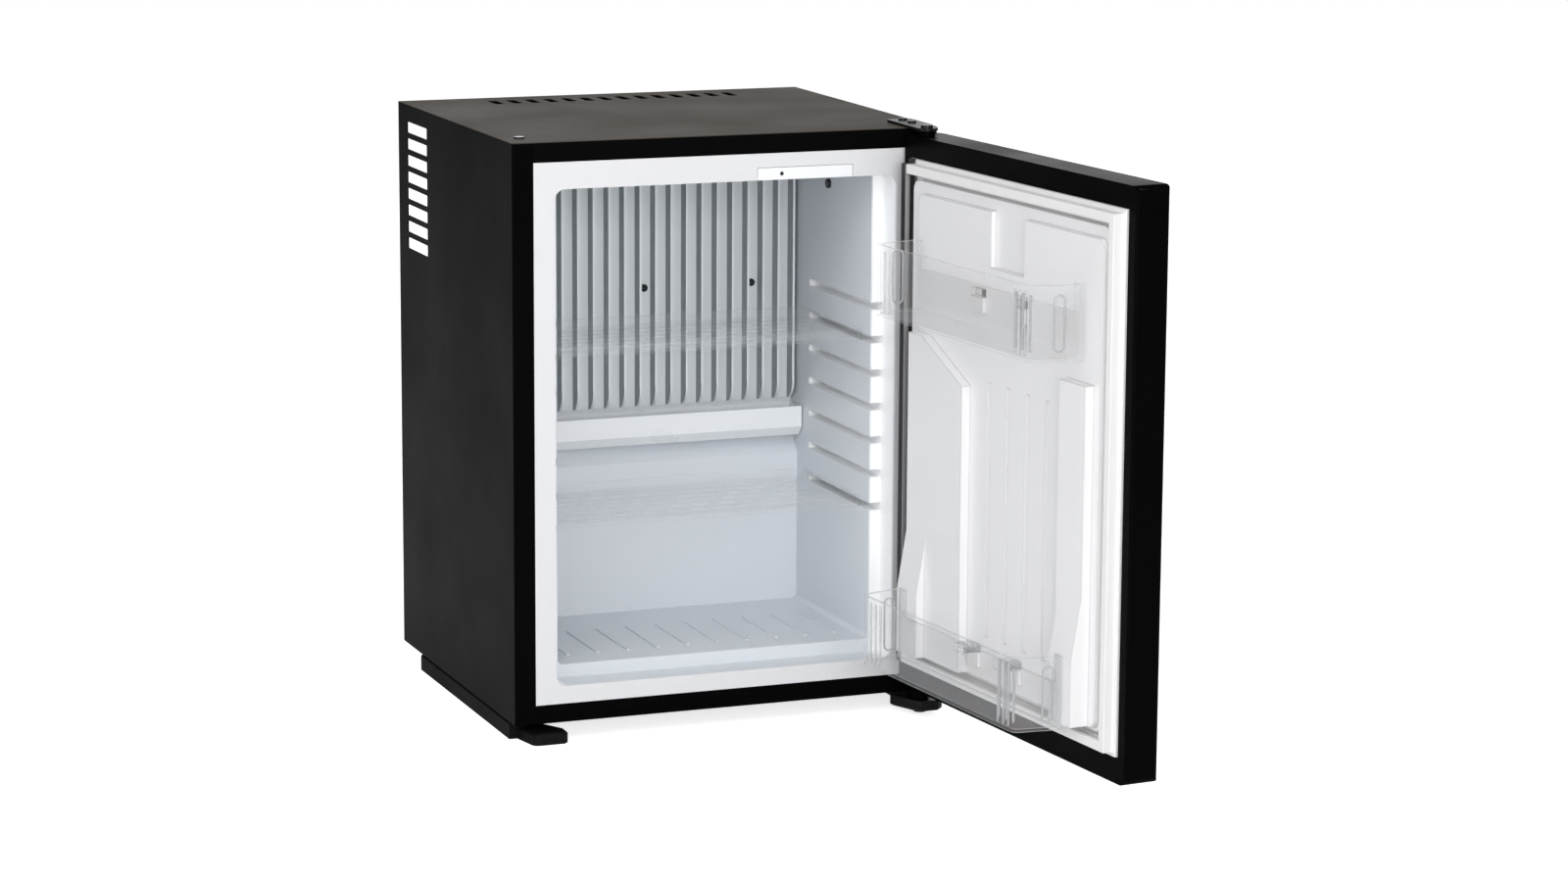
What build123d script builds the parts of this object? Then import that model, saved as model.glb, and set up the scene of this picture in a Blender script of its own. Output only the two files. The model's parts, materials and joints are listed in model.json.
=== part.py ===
from build123d import *
import os

# Small absorption refrigerator of the hotel-room kind, with its door standing open.
# While building, x runs from the cabinet's left side, y from its front plane towards
# the back, and z from its underside. place() then moves each piece so that the origin
# lies on the floor, under the centre of the cabinet. All sizes are in millimetres.

# cabinet
cabinet_width = 402.0
cabinet_depth = 350.0
cabinet_height = 522.0
sheet = 1.2
lid_sheet = 1.4
fold_round = 1.0
border_side = 19.6
border_top = 18.0
border_bottom = 17.0
rear_flange = 7.0
rear_space = 98.0
fit_gap = 0.3
flush_gap = 0.4

# side and top air slots
side_slot_count = 8
side_slot_pitch = 15.6
side_slot_height = 10.4
side_slot_length = 64.0
side_slot_from_back = 28.0
side_slot_from_top = 16.0
top_slot_count = 14
top_slot_pitch = 18.0
top_slot_width = 9.0
top_slot_length = 30.0
top_slot_from_back = 24.0

# food compartment
liner_sheet = 2.0
mouth_inset = 39.0
mouth_from_top = 42.0
mouth_from_bottom = 33.0
mouth_depth = 31.0
mouth_round = 10.0
chamber_step = 11.3
rear_insulation = 41.0
floor_step = 12.0
recess_depth = 17.0
recess_floor = 206.0
ledge_drop = 18.0
groove_count = 7
groove_first = 169.2
groove_pitch = 31.1
groove_height = 7.0
groove_end_gap = 32.0
rib_count = 10
rib_pitch = 29.0
rib_width = 3.0
rib_height = 1.2
rib_start = 62.0
rib_end = 150.0

# evaporator, gutter and drain
fin_pitch = 15.4
fin_row_gap = 8.0
fin_sheet = 2.2
fin_depth = 14.0
fin_bend_height = 22.4
fin_bottom = 239.0
fin_top_gap = 5.0
plate_sheet = 2.5
plate_side_gap = 1.0
screw_head_radius = 3.6
screw_head_height = 2.0
plate_screw_radius = 1.6
plate_screw_reach = 8.0
plate_screw_from_top = 128.0
gutter_top = 235.0
gutter_stand = 14.0
gutter_slope = 8.0
gutter_slope_height = 9.0
gutter_wall = 2.0
drain_from_right = 129.0
drain_radius = 5.0
drain_bore = 3.5

# shelves
upper_shelf_groove = 5
lower_shelf_groove = 0
shelf_front = 48.0
shelf_back_gap = 17.0
shelf_sheet = 3.0
shelf_rim = 10.0
shelf_rim_width = 3.0
shelf_hole_length = 15.0
shelf_hole_width = 7.0
shelf_hole_pitch_x = 24.0
shelf_hole_pitch_y = 20.0
shelf_hole_columns = 11
shelf_hole_rows = 6

# lamp and sensors
lamp_from_mouth_right = 43.0
lamp_width = 91.0
lamp_height = 11.0
lamp_depth = 26.0
lamp_wall = 1.6
window_offset = 23.0
window_radius = 1.7
sensor_y = 134.0
sensor_from_mouth_top = 24.0
sensor_radius = 4.5
sensor_stand = 3.0
sensor_stem = 18.0

# feet
foot_height = 18.0
rail_height = 15.0
rail_inset = 2.0
rail_width = 15.0
rail_front = 24.0
rail_from_back = 50.0
rail_boss_inset = 15.0
boss_radius = 5.5
boss_count = 3
shoe_reach = 8.0
shoe_height = 10.5
shoe_width = 46.0
shoe_back = 63.0
foot_screw_radius = 2.0
foot_screw_head = 4.0
foot_screw_recess = 8.0
foot_screw_reach = 10.0

# door
door_gap = 12.0
door_thickness = 33.0
door_from_top = 4.5
door_from_bottom = 10.0
door_sheet = 1.0
door_return = 13.0
cap_top = 20.0
cap_bottom = 23.0
cap_wall = 2.5
cap_corner = 9.0
door_free_round = 5.0
door_hinge_round = 16.0
door_inner_round = 2.5
gasket_width = 13.0
gasket_foot_height = 2.5
gasket_head_inset = 3.9
gasket_head_width = 8.6
gasket_neck_width = 5.7
gasket_head_low = -5.2
magnet_back = -4.2
magnet_width = 6.5
magnet_height = 2.6
door_open_angle = 95.4

# door lining relief, as heights above the cabinet's front plane
plinth_height = -6.0
panel_height = -1.0
column_height = 8.0
bracket_height = 17.0
plinth_margin = 4.0
panel_inset = 5.0
panel_top_margin = 27.5
panel_bottom = 54.0
column_from_top = 176.0
hinge_column_width = 99.0
free_column_width = 43.0
bracket_width = 36.0
bracket_top = 112.0
bracket_slope = 53.0
channel_width = 58.0
channel_shift = 8.0
channel_length = 49.0
flute_count = 4
flute_pitch = 33.5
flute_width = 7.0
flute_depth = 1.6
flute_low = 94.0
flute_top_margin = 26.0
corner_cut = 34.0
corner_run = 74.0

# door bins
bin_wall = 2.2
bin_height = 64.0
bin_mouth_gap = 25.5
bin_flare = 8.0
bin_round = 7.0
bin_end_ribs = 3
upper_bin_from_top = 156.0
upper_bin_front = 50.0
lower_bin_floor = 50.0
lower_bin_front = 60.0
hook_width = 18.0
hook_reach = 6.0
hook_height = 7.0
lug_height = 14.0
hook_offset = 36.0

# hinges
hinge_inset = 20.4
hinge_forward = 24.0
pin_radius = 3.0
pin_clearance = 0.05
bush_radius = 5.5
bush_length = 16.0
bush_flange_radius = 7.5
bush_seat_gap = 0.02
boss_wall = 3.0
hinge_plate = 2.5
hinge_plate_width = 24.0
hinge_plate_back = 48.0
hinge_plate_shift = 2.4
hinge_screw_ys = (16.0, 37.0)
plug_y = 35.0
pin_head_radius = 5.5
pin_head_height = 2.4
lower_plate = 3.0
lower_nose_drop = 12.0
lower_nose_reach = 34.0
lower_nose_inner = 40.0
lower_plate_back = 22.0
hinge_screw_radius = 2.0
hinge_screw_head = 4.0
hinge_screw_head_height = 1.8
hinge_screw_reach = 14.0
lower_screw_insets = (31.0, 8.0)
lower_screw_y = 12.0

# cooling unit behind the insulation
unit_from_wall = 48.0
boiler_from_right = 70.0
boiler_radius = 32.0
boiler_low = 120.0
boiler_from_top = 150.0
boiler_sheet = 1.0
boiler_tube_offset = 8.0
heater_radius = 6.0
heater_offset = 18.0
condenser_from_top = 84.0
condenser_end = 72.0
condenser_radius = 7.0
condenser_bend = 16.0
condenser_fin_end_gap = 58.0
condenser_fin_pitch = 12.0
condenser_fin_first = 108.0
condenser_fin_sheet = 1.0
condenser_fin_width = 56.0
condenser_fin_height = 46.0
evaporator_tube_gap = 13.0
evaporator_rows_from_top = (127.0, 192.0)
evaporator_from_right = 82.0
coil_radius = 6.0
coil_left = 70.0
coil_tray_gap = 16.0
coil_rows = 6
coil_pitch = 34.0
coil_low = 122.0
coil_bend = 14.0
tank_radius = 24.0
tank_round = 12.0
tank_z = 66.0
tank_left = 60.0
tank_coil_step = 14.0
tank_start = 34.0
strap_sheet = 2.0
strap_width = 20.0
strap_left = 52.0
strap_from_right = 30.0
strap_low = 190.0
strap_below_boiler_top = 20.0
strap_post_radius = 5.0
cross_rail_height = 24.0
cross_rail_depth = 68.0
saddle_width = 6.0
box_from_right = 26.0
box_width = 80.0
box_low = 24.0
box_height = 70.0
box_depth = 34.0
box_wall = 2.0
gland_radius = 8.0
gland_bore = 3.6
gland_length = 12.0
gland_inset = 18.0
tray_width = 42.0
tray_depth = 54.0
tray_height = 20.0
tray_wall = 1.6
tray_low = 96.0

# places worked out from the sizes above
mouth_left = mouth_inset
mouth_right = cabinet_width - mouth_inset
mouth_low = mouth_from_bottom
mouth_high = cabinet_height - mouth_from_top
wall_left = mouth_inset + chamber_step
wall_right = cabinet_width - wall_left
chamber_floor = mouth_low + floor_step
rear_wall_back = cabinet_depth - rear_space
rear_wall_front = rear_wall_back - sheet
chamber_depth = rear_wall_back - rear_insulation
recess_back = chamber_depth + recess_depth
groove_end = chamber_depth - groove_end_gap
shelf_back = chamber_depth - shelf_back_gap
gutter_front = chamber_depth - gutter_stand
rail_back = cabinet_depth - rail_from_back
sensor_z = mouth_high - sensor_from_mouth_top
lamp_left = mouth_right - lamp_from_mouth_right - lamp_width
drain_x = cabinet_width - drain_from_right
fin_count = int((wall_right - wall_left - fin_row_gap) / fin_pitch) + 1
lid_low = cabinet_height - lid_sheet
groove_levels = [groove_first + groove_pitch * n for n in range(groove_count)]
hinge_x = cabinet_width - hinge_inset
hinge_y = -hinge_forward
door_axis = Axis((hinge_x, hinge_y, 0), (0, 0, 1))
door_inner = -door_gap
door_outer = -door_gap - door_thickness
door_low = door_from_bottom
door_high = cabinet_height - door_from_top
lining_left = door_return
lining_right = cabinet_width - door_return
lining_low = door_low + cap_bottom
lining_high = door_high - cap_top
panel_top = lining_high - panel_top_margin
column_top = cabinet_height - column_from_top
channel_free = (cabinet_width - channel_width) / 2 - channel_shift
channel_hinge = channel_free + channel_width
channel_low = panel_top - channel_length
bin_half_width = (mouth_right - mouth_left) / 2 - bin_mouth_gap
upper_bin_floor = cabinet_height - upper_bin_from_top
unit_y = rear_wall_back + unit_from_wall
boiler_x = cabinet_width - boiler_from_right
boiler_high = cabinet_height - boiler_from_top
condenser_z = cabinet_height - condenser_from_top
condenser_fin_room = boiler_x - boiler_tube_offset - condenser_fin_end_gap - condenser_fin_first
condenser_fins = int(condenser_fin_room / condenser_fin_pitch) + 1
evaporator_tube_y = recess_back + evaporator_tube_gap
evaporator_rows = [cabinet_height - drop for drop in evaporator_rows_from_top]
evaporator_right = cabinet_width - evaporator_from_right
coil_right = drain_x - tray_width / 2 - coil_tray_gap
tank_right = coil_right - tank_coil_step
strap_right = cabinet_width - strap_from_right
strap_levels = (strap_low, boiler_high - strap_below_boiler_top)
box_left = cabinet_width - box_from_right - box_width


def slab(x0, x1, y0, y1, z0, z1):
    """A plain block between two corners."""
    centre = Pos((x0 + x1) / 2, (y0 + y1) / 2, (z0 + z1) / 2)
    return centre * Box(x1 - x0, y1 - y0, z1 - z0)


def rounded_slab(x0, x1, y0, y1, z0, z1, radius):
    """A block whose four edges along y are rounded."""
    block = slab(x0, x1, y0, y1, z0, z1)
    return fillet(block.edges().filter_by(Axis.Y), radius)


def upright(x, y, z0, z1, radius):
    return Pos(x, y, (z0 + z1) / 2) * Cylinder(radius, z1 - z0)


def along_y(x, z, y0, y1, radius):
    return Pos(x, (y0 + y1) / 2, z) * Rot(90, 0, 0) * Cylinder(radius, y1 - y0)


def along_x(y, z, x0, x1, radius):
    return Pos((x0 + x1) / 2, y, z) * Rot(0, 90, 0) * Cylinder(radius, x1 - x0)


def prism_x(outline, x0, x1):
    """An outline of (y, z) points carried from x0 to x1."""
    face = make_face(Polyline(*[(x0, y, z) for y, z in outline], close=True))
    return extrude(face, x1 - x0, dir=(1, 0, 0))


def prism_z(outline, z0, z1):
    """An outline of (x, y) points carried from z0 to z1."""
    face = make_face(Polyline(*[(x, y, z0) for x, y in outline], close=True))
    return extrude(face, z1 - z0, dir=(0, 0, 1))


def bent_rod(points, radius, bend):
    """A round rod along straight runs joined by arcs."""
    path = FilletPolyline(*points, radius=bend)
    section = Plane(origin=path @ 0, z_dir=path % 0) * Circle(radius)
    return sweep(section, path=path)


def ring_frame(x0, x1, z0, z1, width, y0, y1):
    """A rectangular frame whose outer corners are given."""
    outer = slab(x0, x1, y0, y1, z0, z1)
    return outer - slab(x0 + width, x1 - width, y0, y1, z0 + width, z1 - width)


def mirrored(shape):
    """The same piece on the other side of the cabinet."""
    middle = Plane(origin=(cabinet_width / 2, 0, 0), z_dir=(1, 0, 0))
    return mirror(shape, about=middle)


# ---- cabinet shell


def side_slots(x0, x1):
    slots = []
    y1 = cabinet_depth - side_slot_from_back
    y0 = y1 - side_slot_length
    for n in range(side_slot_count):
        z1 = cabinet_height - side_slot_from_top - side_slot_pitch * n
        block = slab(x0, x1, y0, y1, z1 - side_slot_height, z1)
        slots.append(fillet(block.edges().filter_by(Axis.X), fold_round))
    return slots


def side_panel_left():
    wall = slab(0, sheet, 0, cabinet_depth, 0, lid_low)
    front_fold = slab(0, border_side, 0, sheet, 0, lid_low)
    rear_fold = slab(0, rear_flange, cabinet_depth - sheet, cabinet_depth, 0, lid_low)
    panel = wall + front_fold + rear_fold
    corner = panel.edges().filter_by(Axis.Z).sort_by_distance((0, 0, lid_low / 2))[0]
    panel = fillet(corner, fold_round)
    for slot in side_slots(-1, sheet + 1):
        panel -= slot
    return panel


def top_panel():
    plate = slab(0, cabinet_width, 0, cabinet_depth, lid_low, cabinet_height)
    inner = cabinet_width - border_side
    low = cabinet_height - border_top
    plate += slab(border_side, inner, 0, sheet, low, cabinet_height)
    plate += slab(
        rear_flange, cabinet_width - rear_flange, cabinet_depth - sheet, cabinet_depth,
        cabinet_height - 2 * rear_flange, lid_low)
    edges = plate.edges().group_by(Axis.Z)[-1].filter_by(Axis.X).sort_by(Axis.Y)
    plate = fillet(edges[0], fold_round)
    row = top_slot_pitch * (top_slot_count - 1) + top_slot_width
    y1 = cabinet_depth - top_slot_from_back
    for n in range(top_slot_count):
        x0 = (cabinet_width - row) / 2 + top_slot_pitch * n
        x1 = x0 + top_slot_width
        slot = slab(x0, x1, y1 - top_slot_length, y1, lid_low - 1, cabinet_height + 1)
        plate -= fillet(slot.edges().filter_by(Axis.Z), top_slot_width / 2 - 0.5)
    for x, y in hinge_screw_places + [(plug_x, plug_y)]:
        plate -= upright(x, y, lid_low - 1, cabinet_height + 1, hinge_screw_radius + fit_gap)
    return plate


def bottom_panel():
    inner = cabinet_width - border_side
    plate = slab(sheet, cabinet_width - sheet, sheet, rear_wall_back, 0, sheet)
    plate += slab(border_side, inner, 0, sheet, 0, border_bottom)
    for x, y in foot_screw_places() + lower_screw_places:
        plate -= upright(x, y, -1, sheet + 1, foot_screw_radius + fit_gap)
    return plate


def rear_wall_panel():
    wall = slab(sheet, cabinet_width - sheet, rear_wall_front, rear_wall_back, sheet, lid_low)
    for z in evaporator_rows:
        wall -= along_y(
            condenser_end, z, rear_wall_front - 1, rear_wall_back + 1, condenser_radius + 1)
    return wall - along_y(
        drain_x, drain_z, rear_wall_front - 1, rear_wall_back + 1, drain_radius + fit_gap)


# ---- food compartment


def chamber_shape(grow):
    """The hollow of the food compartment, made larger all round by grow."""
    mouth = rounded_slab(
        mouth_left - grow, mouth_right + grow, -1, mouth_depth + grow,
        mouth_low - grow, mouth_high + grow, mouth_round + grow)
    room = slab(
        wall_left - grow, wall_right + grow, 1, chamber_depth + grow,
        chamber_floor - grow, mouth_high + grow)
    room = fillet(room.edges().filter_by(Axis.Y), mouth_round / 2 + grow)
    recess = slab(
        wall_left - grow, wall_right + grow, 1, recess_back + grow,
        recess_floor - grow, mouth_high + grow)
    recess = fillet(recess.edges().filter_by(Axis.Y).group_by(Axis.Z)[-1], mouth_round / 2 + grow)
    low = recess_floor - ledge_drop - grow
    ledge = prism_x(
        [(chamber_depth + grow - 1, low), (chamber_depth + grow, low),
         (recess_back + grow, recess_floor - grow), (chamber_depth + grow - 1, recess_floor - grow)],
        wall_left - grow, wall_right + grow)
    shape = mouth + room + recess + ledge
    for z in groove_levels:
        shape += groove(z, grow)
        shape += mirrored(groove(z, grow))
    return shape


def groove(z, grow):
    """One shelf groove of the left wall, open at the front step and round at its end."""
    half = groove_height / 2 + grow
    run = slab(mouth_left - grow, wall_left + 1, mouth_depth - 1, groove_end, z - half, z + half)
    end = along_x(groove_end, z, mouth_left - grow, wall_left + 1, half)
    return run + end


def inner_liner():
    flange = slab(
        border_side, cabinet_width - border_side, 0, liner_sheet,
        border_bottom, cabinet_height - border_top)
    behind = slab(0, cabinet_width, 0, cabinet_depth, 0, cabinet_height)
    liner = flange + (chamber_shape(liner_sheet) & behind)
    liner -= chamber_shape(0)
    first = cabinet_width / 2 - rib_pitch * (rib_count - 1) / 2
    for n in range(rib_count):
        x = first + rib_pitch * n
        liner += slab(
            x - rib_width / 2, x + rib_width / 2, rib_start, rib_end,
            chamber_floor - liner_sheet / 2, chamber_floor + rib_height)
    liner -= lamp_space(flush_gap)
    liner -= along_x(
        sensor_y, sensor_z, wall_right - 1, wall_right + liner_sheet + 1, sensor_radius - 1)
    rear = recess_back + liner_sheet + 1
    liner -= along_y(drain_x, drain_z, recess_back - 1, rear, drain_radius + fit_gap)
    for x, z in evaporator_screw_places:
        liner -= along_y(x, z, recess_back - 1, rear, plate_screw_radius + fit_gap)
    return liner


def lamp_space(gap):
    """The block that the lamp housing takes out of the lining and insulation."""
    return slab(
        lamp_left - gap, lamp_left + lamp_width + gap, -1, lamp_depth + gap,
        mouth_high - 1, mouth_high + lamp_height + gap)


def cabinet_foam():
    foam = slab(sheet, cabinet_width - sheet, sheet, rear_wall_front, sheet, lid_low)
    foam -= slab(
        border_side, cabinet_width - border_side, 0, liner_sheet,
        border_bottom, cabinet_height - border_top)
    foam -= chamber_shape(liner_sheet)
    foam -= lamp_space(flush_gap)
    foam -= along_x(sensor_y, sensor_z, wall_right, wall_right + sensor_stem + 4, sensor_radius)
    foam -= along_y(drain_x, drain_z, recess_back, rear_wall_front + 1, drain_radius + fit_gap)
    foam -= evaporator_tube_shape(condenser_radius + fit_gap)
    for x, z in evaporator_screw_places:
        foam -= along_y(
            x, z, recess_back, recess_back + plate_screw_reach + 2, plate_screw_radius + fit_gap)
    for x, y in foot_screw_places() + lower_screw_places:
        foam -= upright(x, y, 0, foot_screw_reach + 2, foot_screw_radius + fit_gap)
    for x, y in hinge_screw_places + [(plug_x, plug_y)]:
        foam -= upright(
            x, y, lid_low - hinge_screw_reach - 2, lid_low, hinge_screw_radius + fit_gap)
    return foam


# ---- evaporator, gutter, drain

drain_z = recess_floor + gutter_wall + drain_radius
fin_row = fin_pitch * (fin_count - 1)
fin_first = cabinet_width / 2 - fin_row / 2
plate_front = recess_back - plate_sheet
fin_front = plate_front - fin_depth
plate_top = mouth_high - fin_top_gap
plate_screw_z = mouth_high - plate_screw_from_top
evaporator_screw_places = [
    (fin_first + fin_pitch * 2.5, plate_screw_z),
    (fin_first + fin_pitch * (fin_count // 2 - 0.5), plate_screw_z),
    (fin_first + fin_pitch * (fin_count - 3.5), plate_screw_z),
]


def evaporator_plate():
    """An extruded aluminium plate whose upright fins curve in at their lower ends."""
    plate = slab(
        wall_left + plate_side_gap, wall_right - plate_side_gap,
        plate_front, recess_back, fin_bottom, plate_top)
    root = (0, plate_front + 0.5, fin_bottom)
    foot = (0, plate_front, fin_bottom)
    knee = (0, fin_front, fin_bottom + fin_bend_height)
    bend = TangentArc(foot, knee, tangent=(0, -1, 0.2))
    rest = Polyline(knee, (0, fin_front, plate_top), (0, plate_front + 0.5, plate_top), root)
    fin_side = make_face([Line(root, foot), bend, rest])
    fin = extrude(fin_side, fin_sheet, dir=(1, 0, 0))
    for n in range(fin_count):
        plate += Pos(fin_first + fin_pitch * n - fin_sheet / 2, 0, 0) * fin
    for x, z in evaporator_screw_places:
        plate -= along_y(x, z, plate_front - 1, recess_back + 1, plate_screw_radius + fit_gap)
    return plate


def evaporator_screws():
    screws = []
    for x, z in evaporator_screw_places:
        head = along_y(x, z, plate_front - screw_head_height, plate_front, screw_head_radius)
        shank = along_y(x, z, plate_front - 1, recess_back + plate_screw_reach, plate_screw_radius)
        slot = slab(x - 2.6, x + 2.6, plate_front - 3, plate_front - 1, z - 0.5, z + 0.5)
        screws.append(head + shank - slot)
    return screws


def evaporator_tube_shape(radius):
    """The cold tube in the insulation: in from the unit, across, back, and out again."""
    high, low = evaporator_rows
    outside = rear_wall_back + 4
    points = [
        (condenser_end, outside, high), (condenser_end, evaporator_tube_y, high),
        (evaporator_right, evaporator_tube_y, high), (evaporator_right, evaporator_tube_y, low),
        (condenser_end, evaporator_tube_y, low), (condenser_end, outside, low)]
    return bent_rod(points, radius, 7.5)


def drip_gutter():
    """A channel on the ledge under the fins, closed at both ends."""
    back = recess_back - fit_gap
    x0 = wall_left + plate_side_gap
    x1 = wall_right - plate_side_gap
    low = recess_floor
    turn = gutter_front + gutter_slope
    knee = low + gutter_slope_height
    outer = prism_x(
        [(back, low), (turn, low), (gutter_front, knee), (gutter_front, gutter_top),
         (back, gutter_top)], x0, x1)
    w = gutter_wall
    inner = prism_x(
        [(back - w, low + w), (turn + w / 2, low + w), (gutter_front + w, knee + w / 2),
         (gutter_front + w, gutter_top + 1), (back - w, gutter_top + 1)], x0 + w, x1 - w)
    gutter = outer - inner
    return gutter - along_y(drain_x, drain_z, back - w - 1, back + 1, drain_radius + fit_gap)


def drain_tube():
    """From the gutter through the insulation and down to the evaporation tray."""
    y1 = rear_wall_back + 14
    points = [
        (drain_x, recess_back - fit_gap - gutter_wall, drain_z), (drain_x, y1, drain_z),
        (drain_x, y1, tray_low + tray_height - 6)]
    return bent_rod(points, drain_radius, 9) - bent_rod(points, drain_bore, 9)


# ---- shelves


def shelf(groove_number):
    """A clear shelf: runners in the grooves, a rim, and rows of oval holes."""
    z = groove_levels[groove_number]
    low = z - groove_height / 2 + fit_gap
    runner_top = z + groove_height / 2 - fit_gap
    x0 = wall_left + 1
    x1 = wall_right - 1
    board = slab(x0, x1, shelf_front, shelf_back, low, low + shelf_sheet)
    runner_in = mouth_left + 0.6
    runner = slab(runner_in, x0 + 1, shelf_front + 6, groove_end - 2, low, runner_top)
    board += runner + mirrored(runner)
    rim_z = low + shelf_rim
    rim = slab(x0, x1, shelf_front, shelf_back, low, rim_z)
    w = shelf_rim_width
    rim -= slab(x0 + w, x1 - w, shelf_front + w, shelf_back - w, low - 1, rim_z + 1)
    board += rim
    centre_x = cabinet_width / 2
    centre_y = (shelf_front + shelf_back) / 2
    for row in range(shelf_hole_rows):
        shift = shelf_hole_pitch_x * (row % 2 - 0.5) / 2
        y = centre_y + shelf_hole_pitch_y * (row - (shelf_hole_rows - 1) / 2)
        for column in range(shelf_hole_columns):
            x = centre_x + shelf_hole_pitch_x * (column - (shelf_hole_columns - 1) / 2) + shift
            hole = Pos(x, y, low - 1) * SlotOverall(shelf_hole_length, shelf_hole_width)
            board -= extrude(hole, shelf_sheet + 2)
    return board


# ---- lamp and sensors


def lamp_housing():
    block = slab(
        lamp_left, lamp_left + lamp_width, 0, lamp_depth, mouth_high, mouth_high + lamp_height)
    w = lamp_wall
    block -= slab(
        lamp_left + w, lamp_left + lamp_width - w, w, lamp_depth - w,
        mouth_high - 1, mouth_high + lamp_height - w)
    return block - along_y(lamp_left + window_offset, lamp_window_z, -1, w + 1, window_radius + 0.05)


lamp_window_z = mouth_high + lamp_height / 2


def lamp_lens():
    w = lamp_wall + fit_gap / 2
    return slab(
        lamp_left + w, lamp_left + lamp_width - w, w, lamp_depth - w,
        mouth_high + flush_gap, mouth_high + 2.0)


def lamp_board():
    w = lamp_wall
    top = mouth_high + lamp_height - w
    under = top - 1.6
    board = slab(lamp_left + 8, lamp_left + lamp_width - 8, w + 3, lamp_depth - w - 3, under, top)
    middle = lamp_depth / 2
    for n in range(3):
        x = lamp_left + lamp_width * (n + 1) / 4
        board += slab(x - 2.5, x + 2.5, middle - 2.5, middle + 2.5, under - 1.8, under)
    return board


def lamp_window():
    return along_y(lamp_left + window_offset, lamp_window_z, -0.2, lamp_wall + 0.5, window_radius)


def temperature_sensor():
    head = along_x(sensor_y, sensor_z, wall_right - sensor_stand, wall_right, sensor_radius)
    stem = along_x(
        sensor_y, sensor_z, wall_right - 1, wall_right + sensor_stem, sensor_radius - 1 - fit_gap)
    return fillet(head.edges().group_by(Axis.X)[0], 1.2) + stem


# ---- feet


def rail_boss_levels():
    first = rail_front + rail_boss_inset
    step = (rail_back - rail_boss_inset - first) / (boss_count - 1)
    return [first + step * n for n in range(boss_count)]


def foot_screw_places():
    x = rail_inset + rail_width / 2
    left = [(x, y) for y in rail_boss_levels()]
    return left + [(cabinet_width - x, y) for x, y in left]


def rail_body():
    """A rail along the left side, standing off the underside on round bosses."""
    x0 = rail_inset
    x1 = rail_inset + rail_width
    low = -foot_height
    top = low + rail_height
    rail = slab(x0, x1, rail_front, rail_back, low, top)
    rail = fillet(rail.edges().filter_by(Axis.Y).group_by(Axis.Z)[-1], 2.0)
    for y in rail_boss_levels():
        rail += upright((x0 + x1) / 2, y, top - 1, 0, boss_radius)
    return rail


def drilled_rail(rail):
    """The rail with its screw holes and the recesses for the screw heads."""
    x = rail_inset + rail_width / 2
    low = -foot_height
    for y in rail_boss_levels():
        rail -= upright(x, y, low - 1, 1, foot_screw_radius + fit_gap)
        rail -= upright(x, y, low - 1, low + foot_screw_recess, foot_screw_head + fit_gap)
    return rail


def left_foot_rail():
    """The left rail with the shoe that stands out under the front corner."""
    low = -foot_height
    x0 = rail_inset
    x1 = x0 + shoe_width
    outline = [
        (x0, shoe_back), (x0 + 13, -shoe_reach + 3), (x0 + 17, -shoe_reach),
        (x1 - 4, -shoe_reach), (x1, -shoe_reach + 4), (x1, 8), (x0 + rail_width, shoe_back)]
    shoe = prism_z(outline, low, low + shoe_height)
    shoe = chamfer(shoe.edges().group_by(Axis.Z)[-1], 1.5)
    return drilled_rail(rail_body() + shoe)


def foot_screws():
    screws = []
    for x, y in foot_screw_places():
        head_top = -foot_height + foot_screw_recess
        shank = upright(x, y, head_top - 3, foot_screw_reach, foot_screw_radius)
        screws.append(shank + upright(x, y, head_top - 3, head_top, foot_screw_head))
    return screws


# ---- hinges

hinge_plate_centre = hinge_x + hinge_plate_shift
hinge_screw_places = [(hinge_plate_centre, y) for y in hinge_screw_ys]
plug_x = cabinet_width - hinge_plate_centre
lower_screw_places = [(cabinet_width - inset, lower_screw_y) for inset in lower_screw_insets]


def top_hinge_bracket():
    """A flat arm on the lid whose round end reaches over the door."""
    half = hinge_plate_width / 2
    low = cabinet_height
    high = low + hinge_plate
    arm = slab(
        hinge_plate_centre - half, hinge_plate_centre + half, hinge_y, hinge_plate_back, low, high)
    arm = fillet(arm.edges().filter_by(Axis.Z).group_by(Axis.Y)[-1], 4)
    arm += upright(hinge_x, hinge_y, low, high, half - 2)
    arm -= slab(hinge_x + half - 2, cabinet_width, hinge_y - 1, -3, low - 1, high + 1)
    arm -= upright(hinge_x, hinge_y, low - 1, high + 1, pin_radius + bush_seat_gap)
    for x, y in hinge_screw_places:
        arm -= upright(x, y, low - 1, high + 1, hinge_screw_radius + fit_gap)
    return arm


def top_hinge_pin():
    high = cabinet_height + hinge_plate
    pin = upright(hinge_x, hinge_y, door_high - bush_length + 2, high, pin_radius)
    head = upright(hinge_x, hinge_y, high, high + pin_head_height, pin_head_radius)
    return pin + fillet(head.edges().group_by(Axis.Z)[-1], 1.0)


def hinge_screws():
    screws = []
    high = cabinet_height + hinge_plate
    for x, y in hinge_screw_places:
        screws.append(pan_head_screw(x, y, high, lid_low - hinge_screw_reach, 1))
    for x, y in lower_screw_places:
        screws.append(pan_head_screw(x, y, -lower_plate, foot_screw_reach, -1))
    return screws


def pan_head_screw(x, y, seat, tip, way):
    """A pan-head screw whose head lies on seat; way is +1 with the head on top."""
    z0, z1 = sorted((seat, tip))
    shank = upright(x, y, z0, z1, hinge_screw_radius)
    crown = seat + way * hinge_screw_head_height
    h0, h1 = sorted((seat, crown))
    head = upright(x, y, h0, h1, hinge_screw_head)
    return shank + head - slab(x - 2.2, x + 2.2, y - 0.5, y + 0.5, crown - 0.8, crown + 0.8)


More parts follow.
